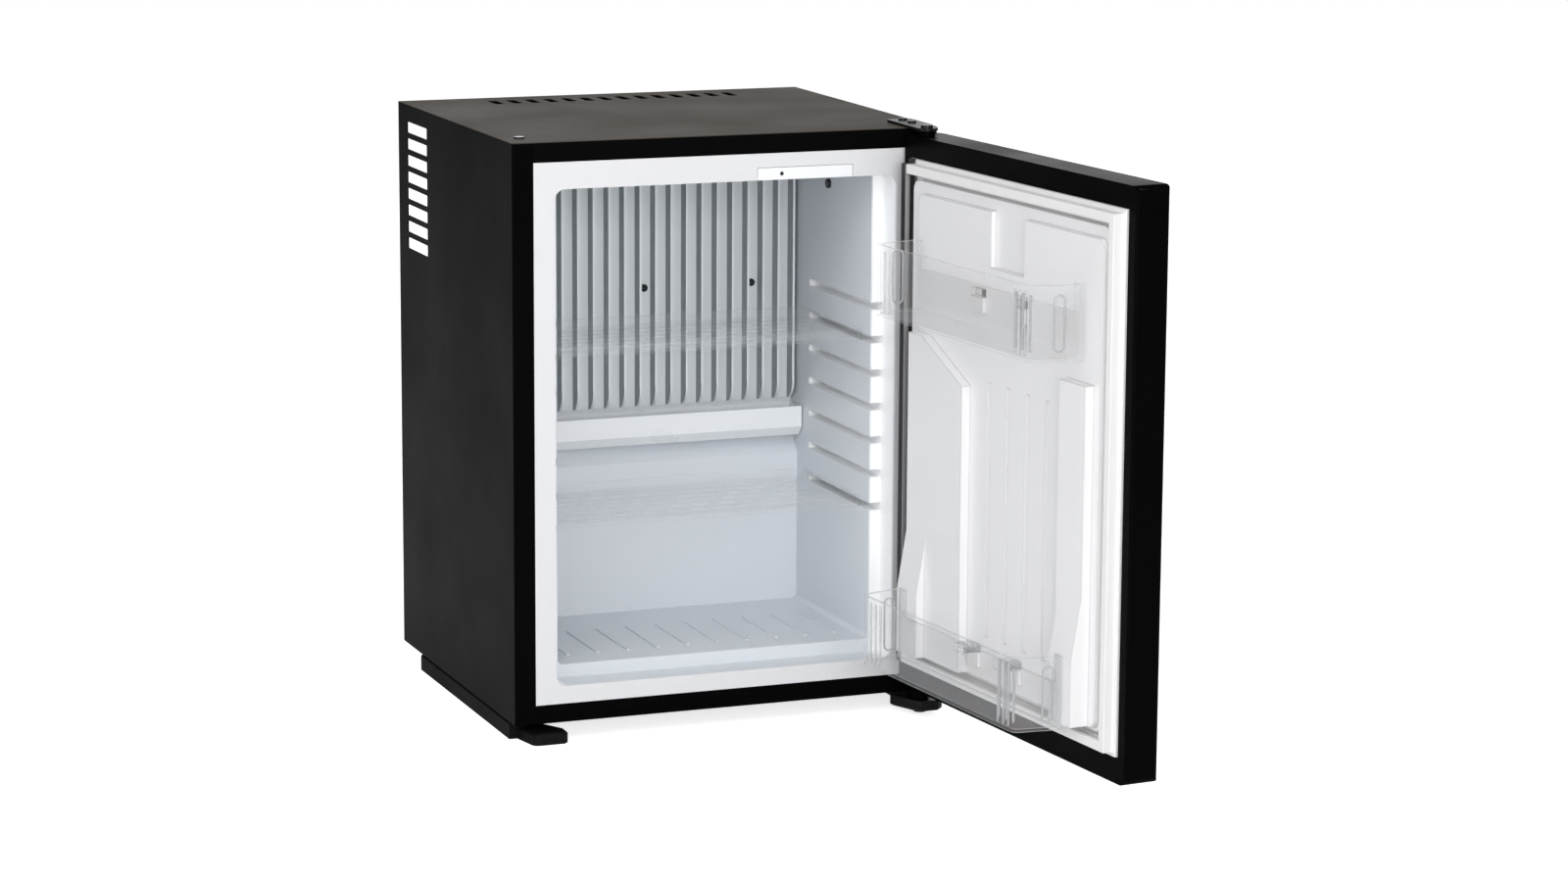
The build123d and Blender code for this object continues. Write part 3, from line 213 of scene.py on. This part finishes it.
def mixColours(tree, factor, first, second):
    mix = tree.nodes.new("ShaderNodeMix")
    mix.data_type = "RGBA"    # its colour sockets are inputs 6 and 7 and output 2
    tree.links.new(factor, mix.inputs["Factor"])
    for socket, colour in ((mix.inputs[6], first), (mix.inputs[7], second)):
        if isinstance(colour, tuple):
            socket.default_value = (*colour[:3], 1)
        else:
            tree.links.new(colour, socket)
    return mix.outputs[2]


def addBump(tree, height, strength, distance):
    bump = tree.nodes.new("ShaderNodeBump")
    bump.inputs["Strength"].default_value = strength
    bump.inputs["Distance"].default_value = distance
    tree.links.new(height, bump.inputs["Height"])
    tree.links.new(bump.outputs["Normal"], tree.nodes["shader"].inputs["Normal"])


def currentColour(tree):
    return tree.nodes["shader"].inputs["Base Color"].links[0].from_socket


def recolour(tree, factor, colour):
    # lays another colour over the finish where the factor is 1
    tree.links.new(mixColours(tree, factor, currentColour(tree), colour),
                   tree.nodes["shader"].inputs["Base Color"])


evenGrain = {
    "mottleScale": 9.0,
    "mottleDetail": 4.0,
    "grainDetail": 2.0,
    "mottleRange": (0.3, 0.7),
}


def plainFinish(name, colour, roughness, metallic=0.0, variation=0.06, grainScale=420.0,
                bumpDepth=0.00002, roughSpread=0.06, coat=0.0, specular=0.5, stretch=(1, 1, 1)):
    # one even finish with faint mottling, uneven gloss and a fine surface grain
    material = newMaterial(name)
    tree = material.node_tree
    shader = tree.nodes["shader"]
    place = objectPlace(tree, stretch)
    mottle = noise(tree, place, evenGrain["mottleScale"], evenGrain["mottleDetail"])
    grain = noise(tree, place, grainScale, evenGrain["grainDetail"])
    dark = tuple(c * (1 - variation) for c in colour)
    light = tuple(min(1.0, c * (1 + variation)) for c in colour)
    tree.links.new(mixColours(tree, mottle, dark, light), shader.inputs["Base Color"])
    rough = mapRange(tree, mottle, roughness - roughSpread, roughness + roughSpread,
                     *evenGrain["mottleRange"])
    tree.links.new(rough, shader.inputs["Roughness"])
    shader.inputs["Metallic"].default_value = metallic
    shader.inputs["Coat Weight"].default_value = coat
    shader.inputs["Specular IOR Level"].default_value = specular
    addBump(tree, grain, 1.0, bumpDepth)
    return material


lid = {
    # the top face's brown grey is a painted reflection on black lacquer
    "colour": (0.068, 0.058, 0.048),
    "foldColour": (0.0016, 0.0016, 0.0016),
    "foldRange": (0.0008, 0.0003),    # below the top face: all black, all brown
}


def lidSheenFinish():
    # black lacquer; its top face is painted brown grey as a painted reflection of the room, and the front fold
    # keeps the black
    material = plainFinish("lidPaintSheen", lid["colour"], 0.50, variation=0.08, specular=0.02)
    tree = material.node_tree
    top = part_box("top_panel")[1][2]
    black, brown = lid["foldRange"]
    fold = mapRange(tree, axisPlace(tree, "Z"), 1.0, 0.0, top - black, top - brown)
    recolour(tree, fold, lid["foldColour"])
    return material


liningDetail = {
    # the moulding's grey is partly painted shade of the enclosed inside
    "colour": (0.69, 0.72, 0.76),
    "groovePaintedLight": (0.95, 0.96, 0.97),
    "rimPaintedShade": (0.68, 0.685, 0.70),
    "plateGap": 0.001,                # from the fin plate's side to the wall
    "wallMargin": 0.0006,
    "grooveFade": 0.0012,
    "grooveRange": (0.002, 0.004),    # behind the front rim: none, all
    "rimRange": (0.0008, 0.0016),     # behind the front rim: all, none
}


def liningFinish():
    # cool white moulding, drawn greyer as painted shade of the enclosed inside; its front rim is painted a little
    # darker as painted shade, and the shelf grooves are painted whiter as painted light that lifts their shade
    material = plainFinish("coolLiningShaded", liningDetail["colour"], 0.34, variation=0.02, grainScale=260)
    tree = material.node_tree
    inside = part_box("evaporator_plate")[1][0] + liningDetail["plateGap"]
    wall = inside + liningDetail["wallMargin"]
    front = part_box("inner_liner")[0][1]
    side = combine(tree, "ABSOLUTE", axisPlace(tree, "X"), 0)
    depth = axisPlace(tree, "Y")
    groove = mapRange(tree, side, 0.0, 1.0, wall, wall + liningDetail["grooveFade"])
    behind = mapRange(tree, depth, 0.0, 1.0, *(front + step for step in liningDetail["grooveRange"]))
    rim = mapRange(tree, depth, 1.0, 0.0, *(front + step for step in liningDetail["rimRange"]))
    # painted light: the grooves are whitened to lift their shade
    recolour(tree, combine(tree, "MULTIPLY", groove, behind), liningDetail["groovePaintedLight"])
    # painted shade: the front rim is darkened
    recolour(tree, rim, liningDetail["rimPaintedShade"])
    return material


finDetail = {
    "colour": (0.76, 0.80, 0.82),
    # painted shade on the sides of the fins
    "sidePaintedShade": (0.27, 0.30, 0.32),
    "sideRange": (0.35, 0.75),        # how far a face turns sideways: none, all
}


def finFinish():
    # pale plate; the sides of the fins, which face one another, are painted grey as painted shade
    material = plainFinish("finMetal", finDetail["colour"], 0.40, metallic=0.1, variation=0.05,
                           stretch=(1, 1, 0.15), grainScale=900)
    tree = material.node_tree
    sideways = combine(tree, "ABSOLUTE", axisPlace(tree, "X", "Normal"), 0)
    shade = mapRange(tree, sideways, 0.0, 1.0, *finDetail["sideRange"])
    recolour(tree, shade, finDetail["sidePaintedShade"])
    return material


clearPlastic = {
    "edgeBlend": 0.35,
    "edgeRange": (0.45, 0.98),
    "patchScale": 26.0,
    "patchDetail": 2.0,
    "patchStretch": (1, 1, 0.6),
    "pink": (0.95, 0.62, 0.66),
    "pinkRange": (0.55, 0.68),
    "teal": (0.50, 0.80, 0.78),
    "tealRange": (0.32, 0.45),
    # painted reflections: dark glints on the shelf edges
    "glintScale": 95.0,
    "glintDetail": 1.0,
    "glintPaintedReflection": (0.16, 0.18, 0.19),
    "glintStrength": 0.9,
    "glintRange": (0.47, 0.55),
}


def clearFinish(name, tint, facing, grazing, warmth=0.0):
    # see-through plastic: faint face on, more opaque where it turns edge-on as a painted reflection, with stress
    # colours where asked
    material = plainFinish(name, tint, 0.10, variation=0.02, grainScale=60, bumpDepth=0.00006,
                           roughSpread=0.03)
    tree = material.node_tree
    # painted reflection: more opaque towards grazing views
    edge = tree.nodes.new("ShaderNodeLayerWeight")
    edge.inputs["Blend"].default_value = clearPlastic["edgeBlend"]
    seen = mapRange(tree, edge.outputs["Facing"], facing, grazing, *clearPlastic["edgeRange"])
    tree.links.new(seen, tree.nodes["shader"].inputs["Alpha"])
    if warmth:
        place = objectPlace(tree, clearPlastic["patchStretch"])
        drift = noise(tree, place, clearPlastic["patchScale"], clearPlastic["patchDetail"])
        pink = mapRange(tree, drift, 0.0, warmth, *clearPlastic["pinkRange"])
        teal = mapRange(tree, drift, warmth, 0.0, *clearPlastic["tealRange"])
        recolour(tree, pink, clearPlastic["pink"])
        recolour(tree, teal, clearPlastic["teal"])
    return material


def paintGlints(material):
    # painted reflections: dark glints along the edges of clear plastic
    tree = material.node_tree
    glint = noise(tree, objectPlace(tree), clearPlastic["glintScale"], clearPlastic["glintDetail"])
    dark = mapRange(tree, glint, 0.0, clearPlastic["glintStrength"], *clearPlastic["glintRange"])
    recolour(tree, dark, clearPlastic["glintPaintedReflection"])


gasketDetail = {
    "colour": (0.80, 0.80, 0.80),
    # painted shade on the hinge side
    "hingePaintedShade": (0.012, 0.012, 0.013),
    "hingeRange": (0.016, 0.012),     # from the hinge end: none, all
}


def gasketFinish():
    # pale soft strip; its hinge side, in the dark gap beside the cabinet, is painted near black as painted shade
    material = plainFinish("gasketRubber", gasketDetail["colour"], 0.55, variation=0.03)
    tree = material.node_tree
    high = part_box("door_gasket")[1][1]
    hingeShadeMask = mapRange(tree, axisPlace(tree, "Y"), 0.0, 1.0,
                         *(high - step for step in gasketDetail["hingeRange"]))
    recolour(tree, hingeShadeMask, gasketDetail["hingePaintedShade"])
    return material


zincDetail = {"cellScale": 110.0, "cellStrength": 0.45, "cellColour": (0.36, 0.37, 0.38)}


def zincFinish():
    # galvanised sheet with its crystal pattern
    material = plainFinish("zincSheet", (0.50, 0.51, 0.52), 0.42, metallic=0.85, variation=0.05)
    tree = material.node_tree
    cells = tree.nodes.new("ShaderNodeTexVoronoi")
    cells.inputs["Scale"].default_value = zincDetail["cellScale"]
    tree.links.new(objectPlace(tree), cells.inputs["Vector"])
    tone = mapRange(tree, cells.outputs["Color"], 0.0, zincDetail["cellStrength"])
    recolour(tree, tone, zincDetail["cellColour"])
    return material


boardDetail = {
    "trackScale": 240.0,
    "trackColour": (0.10, 0.30, 0.16),
    "trackStrength": 0.7,
    "trackRange": (0.02, 0.06),
}


def boardFinish():
    # green lacquer with pale tracks
    material = plainFinish("circuitBoard", (0.02, 0.13, 0.06), 0.35, variation=0.1)
    tree = material.node_tree
    tracks = tree.nodes.new("ShaderNodeTexVoronoi")
    tracks.feature = "DISTANCE_TO_EDGE"
    tracks.inputs["Scale"].default_value = boardDetail["trackScale"]
    tree.links.new(objectPlace(tree), tracks.inputs["Vector"])
    line = mapRange(tree, tracks.outputs["Distance"], boardDetail["trackStrength"], 0.0,
                    *boardDetail["trackRange"])
    recolour(tree, line, boardDetail["trackColour"])
    return material


# softened copies: a CAD node copied, merged, and its edges rounded as moulded or folded ones are

softening = {
    "mergeWithin": 0.00001,
    "flatWithin": 1.0,     # degrees between facets that become one face
    "roundFrom": 30,       # degrees from which an edge is rounded
    "rounds": 2,
    "smoothTo": 50,        # degrees up to which faces are shaded as one
    "flatWeight": 90,
}


def softenedCopy(name, material, edge, edgeMaterial=None):
    source = nodes[name]
    piece = source.copy()
    piece.data = source.data.copy()
    words = name.split("_")
    piece.name = words[0] + "".join(word.capitalize() for word in words[1:])
    piece.parent = None
    bpy.context.scene.collection.objects.link(piece)
    bpy.ops.object.select_all(action="DESELECT")
    piece.select_set(True)
    bpy.context.view_layer.objects.active = piece
    piece.data.materials.clear()
    piece.data.materials.append(material)
    if edgeMaterial:
        piece.data.materials.append(edgeMaterial)
    bpy.ops.object.mode_set(mode="EDIT")
    bpy.ops.mesh.select_all(action="SELECT")
    bpy.ops.mesh.remove_doubles(threshold=softening["mergeWithin"])
    bpy.ops.mesh.dissolve_limited(angle_limit=math.radians(softening["flatWithin"]))
    bpy.ops.object.mode_set(mode="OBJECT")
    bevel = piece.modifiers.new("roundedEdges", "BEVEL")
    bevel.width = edge
    bevel.segments = softening["rounds"]
    bevel.limit_method = "ANGLE"
    bevel.angle_limit = math.radians(softening["roundFrom"])
    bevel.material = 1 if edgeMaterial else -1    # the rounded edge takes the second finish, a painted line of shade (of highlight on the shelves)
    bpy.ops.object.modifier_apply(modifier=bevel.name)
    bpy.ops.object.shade_smooth_by_angle(angle=math.radians(softening["smoothTo"]))
    flatten = piece.modifiers.new("flatFaces", "WEIGHTED_NORMAL")
    flatten.keep_sharp = True
    flatten.weight = softening["flatWeight"]
    bpy.ops.object.modifier_apply(modifier=flatten.name)
    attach(piece, bodyOf[name])
    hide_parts(name)


def dress(material, *names):
    for name in names:
        slots = nodes[name].data.materials
        slots.clear()
        slots.append(material)


makeCamera()
makeRoom()
print("camera and room ready")

shellPaint = plainFinish("shellPaint", (0.0016, 0.0016, 0.0017), 0.30, variation=0.10,
                         grainScale=520, bumpDepth=0.00003, specular=0.015)
capPlastic = plainFinish("capPlastic", (0.0017, 0.0017, 0.0018), 0.34, variation=0.10,
                         grainScale=640, bumpDepth=0.00003, specular=0.015)
hingeBlack = plainFinish("hingeBlack", (0.005, 0.005, 0.0055), 0.36, variation=0.15, specular=0.2)
screwDark = plainFinish("screwDark", (0.03, 0.03, 0.031), 0.34, metallic=0.85, variation=0.2)
pinSteel = plainFinish("pinSteel", (0.035, 0.035, 0.037), 0.30, metallic=0.9, variation=0.1)
footRubber = plainFinish("footRubber", (0.004, 0.004, 0.004), 0.62, variation=0.2,
                         grainScale=800, bumpDepth=0.00008, specular=0.12)
doorLining = plainFinish("doorLining", (0.80, 0.80, 0.81), 0.34, variation=0.02, grainScale=260)
gutterWhite = plainFinish("gutterWhite", (0.84, 0.86, 0.88), 0.30, variation=0.02)
hoseGrey = plainFinish("hoseGrey", (0.66, 0.66, 0.63), 0.5)
lampWhite = plainFinish("lampWhite", (0.82, 0.83, 0.86), 0.30, variation=0.02)
diffuser = plainFinish("diffuser", (0.93, 0.94, 0.95), 0.5, variation=0.02, grainScale=900)
glossBlack = plainFinish("glossBlack", (0.004, 0.004, 0.005), 0.12)
tubePaint = plainFinish("tubePaint", (0.020, 0.020, 0.021), 0.42, variation=0.25,
                        grainScale=300, bumpDepth=0.00010, specular=0.4)
strapSteel = plainFinish("strapSteel", (0.46, 0.47, 0.48), 0.40, metallic=0.85,
                         stretch=(0.2, 1, 1), grainScale=800)
canSteel = plainFinish("canSteel", (0.56, 0.57, 0.58), 0.36, metallic=0.9, stretch=(1, 1, 0.2),
                       grainScale=700)
wool = plainFinish("wool", (0.60, 0.55, 0.44), 0.9, variation=0.2, grainScale=350,
                   bumpDepth=0.0006)
boxPlastic = plainFinish("boxPlastic", (0.030, 0.030, 0.032), 0.5, variation=0.1,
                         grainScale=700, bumpDepth=0.00010)
trayPlastic = plainFinish("trayPlastic", (0.055, 0.055, 0.055), 0.45, variation=0.1)
magnetStrip = plainFinish("magnetStrip", (0.05, 0.045, 0.04), 0.7)
shelfClear = clearFinish("shelfClear", (0.78, 0.81, 0.83), 0.04, 0.30)
# painted highlight: near white edges on the clear shelves, with painted dark glints
shelfEdge = clearFinish("shelfEdge", (0.97, 0.98, 0.99), 0.88, 0.96)
paintGlints(shelfEdge)
binClear = clearFinish("binClear", (0.72, 0.74, 0.75), 0.045, 0.34, warmth=0.45)
# painted shade: grey edges and ribs on the clear bins
binEdge = clearFinish("binEdge", (0.52, 0.54, 0.55), 0.62, 0.90)
# painted shade: darker copies of the white mouldings, drawn on rounded edges as relief lines
liningEdge = plainFinish("liningEdge", (0.58, 0.61, 0.65), 0.36, variation=0.02)
doorEdge = plainFinish("doorEdge", (0.62, 0.62, 0.63), 0.36, variation=0.02)
lampEdge = plainFinish("lampEdge", (0.30, 0.30, 0.32), 0.40, variation=0.05)
lining = liningFinish()
fins = finFinish()
board = boardFinish()
zinc = zincFinish()
foam = plainFinish("foam", (0.72, 0.62, 0.38), 0.85, variation=0.14, grainScale=300,
                   bumpDepth=0.0004)

# finish, edge radius in metres, finish of the rounded edges (a painted shade line, a painted highlight line on the
# shelves), nodes
softened = (
    (shellPaint, 0.0010, None, ("side_panel_left", "side_panel_right", "bottom_panel",
                                "door_skin")),
    (capPlastic, 0.0012, None, ("door_top_cap", "door_bottom_cap")),
    (lidSheenFinish(), 0.0007, None, ("top_panel",)),
    (lining, 0.0010, None, ("inner_liner",)),
    (doorLining, 0.0011, doorEdge, ("door_liner",)),
    (gasketFinish(), 0.0008, None, ("door_gasket",)),
    (fins, 0.0004, None, ("evaporator_plate",)),
    (gutterWhite, 0.0006, liningEdge, ("drip_gutter",)),
    (shelfClear, 0.0012, shelfEdge, ("upper_shelf", "lower_shelf")),
    (binClear, 0.0010, binEdge, ("upper_bin", "lower_bin")),
    (lampWhite, 0.0006, lampEdge, ("lamp_housing",)),
    (hingeBlack, 0.0004, None, ("top_hinge_bracket", "bottom_hinge_bracket")),
    (footRubber, 0.0008, None, ("left_foot_rail", "right_foot_rail")),
    (strapSteel, 0.0003, None, ("unit_straps", "unit_cross_rail")),
    (canSteel, 0.0010, None, ("boiler_casing",)),
    (strapSteel, 0.0001, None, ("condenser_fins",)),
    (boxPlastic, 0.0015, None, ("control_box",)),
    (boxPlastic, 0.0006, None, ("mains_inlet",)),
    (trayPlastic, 0.0007, None, ("evaporation_tray",)),
)
for material, edge, edgeMaterial, names in softened:
    for name in names:
        softenedCopy(name, material, edge, edgeMaterial)
print("softened pieces made")

# ribs and slot rims moulded on the door bins, laid out on the shut door and swung open

binDetail = {
    "wall": 0.0022,
    "slotRadius": 0.0050,
    "slotTube": 0.0009,
    "slotSteps": 28,
    "tubeSteps": 10,
    "ribSteps": 16,
    "ribRounding": 0.6,    # of the rib's radius
    "sink": 0.0006,        # from the wall's inner face to the middle of a rim or rib
    "halfFrom": 0.0001,    # how far off the middle a half of the rim begins
    "ribRadius": 0.0011,
    "ribCount": 3,
    "ribPitch": 0.0120,
    "ribFromEnd": 0.0100,
    "ribMargin": 0.0080,
}


def doorSwing():
    joint = next(j for j in frame["joints"] if j["name"] == "door_swing")
    hinge = Matrix.Translation(joint["pos_m"])
    openBy = -math.radians(joint["range_deg"][0])
    return hinge @ Matrix.Rotation(openBy, 4, "Z") @ hinge.inverted()


def shutBox(name):
    back = doorSwing().inverted()
    points = [back @ vertex.co for vertex in nodes[name].data.vertices]
    return [[pick(p[axis] for p in points) for axis in range(3)] for pick in (min, max)]


def slotRim(centre, height):
    # a ring stretched upright by moving its two halves apart
    bpy.ops.object.select_all(action="DESELECT")
    bpy.ops.mesh.primitive_torus_add(
        major_radius=binDetail["slotRadius"], minor_radius=binDetail["slotTube"],
        major_segments=binDetail["slotSteps"], minor_segments=binDetail["tubeSteps"],
        location=centre, rotation=(0, math.radians(90), 0))
    bpy.ops.object.transform_apply(location=True, rotation=True, scale=True)
    ring = bpy.context.object
    stretch = height / 2 - binDetail["slotRadius"]
    for side in (1, -1):
        bpy.ops.object.mode_set(mode="EDIT")
        bpy.ops.mesh.select_all(action="DESELECT")
        bpy.ops.object.mode_set(mode="OBJECT")
        for vertex in ring.data.vertices:
            vertex.select = (vertex.co.z - centre[2]) * side > binDetail["halfFrom"]
        bpy.ops.object.mode_set(mode="EDIT")
        bpy.ops.transform.translate(value=(0, 0, side * stretch))
        bpy.ops.object.mode_set(mode="OBJECT")
    return ring


def uprightRib(foot, height):
    # a thin post with rounded ends
    bpy.ops.object.select_all(action="DESELECT")
    radius = binDetail["ribRadius"]
    bpy.ops.mesh.primitive_cylinder_add(vertices=binDetail["ribSteps"], radius=radius, depth=height,
                                        location=(foot[0], foot[1], foot[2] + height / 2))
    bpy.ops.object.transform_apply(location=True, rotation=True, scale=True)
    bpy.ops.object.mode_set(mode="EDIT")
    bpy.ops.mesh.select_all(action="SELECT")
    bpy.ops.mesh.bevel(offset=radius * binDetail["ribRounding"], segments=2, affect="EDGES")
    bpy.ops.mesh.remove_doubles(threshold=softening["mergeWithin"])
    bpy.ops.object.mode_set(mode="OBJECT")
    return bpy.context.object


def binDetails(name):
    low, high = shutBox(name)
    wall = binDetail["wall"]
    margin = binDetail["ribMargin"]
    sink = wall + binDetail["sink"]
    height = high[2] - low[2]
    middle = (low[1] + high[1]) / 2
    parts = [slotRim((x, middle, low[2] + height / 2), height - 2 * margin)
             for x in (low[0] + sink, high[0] - sink)]
    for n in range(binDetail["ribCount"]):
        x = low[0] + wall + binDetail["ribFromEnd"] + n * binDetail["ribPitch"]
        parts.append(uprightRib((x, high[1] - sink, low[2] + margin),
                                height - 2 * margin))
    bpy.ops.object.select_all(action="DESELECT")
    for part in parts:
        part.select_set(True)
    bpy.context.view_layer.objects.active = parts[0]
    bpy.ops.object.join()
    piece = bpy.context.object
    piece.name = name.replace("_bin", "BinRibs")
    piece.data.transform(doorSwing())
    bpy.ops.object.shade_smooth_by_angle(angle=math.radians(softening["smoothTo"]))
    # the ribs take the bins' painted grey edge shade
    piece.data.materials.append(binEdge)
    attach(piece, bodyOf[name])


binDetails("upper_bin")
binDetails("lower_bin")
print("bin ribs made")

dress(zinc, "rear_wall_panel")
dress(foam, "cabinet_foam", "door_foam")
dress(screwDark, "evaporator_screws", "hinge_screws", "foot_screws")
dress(tubePaint, "evaporator_tube", "absorber_coil", "condenser_tube", "reservoir", "liquid_line")
dress(hoseGrey, "drain_tube")
dress(diffuser, "lamp_lens")
dress(board, "lamp_board", "control_board")
dress(glossBlack, "lamp_window", "temperature_sensor", "hinge_hole_plug")
dress(pinSteel, "top_hinge_pin", "bottom_hinge_pin", "boiler_heater")
dress(capPlastic, "top_hinge_bush", "bottom_hinge_bush")
dress(wool, "boiler_wool")
dress(magnetStrip, "gasket_magnets")
print("frame nodes dressed")
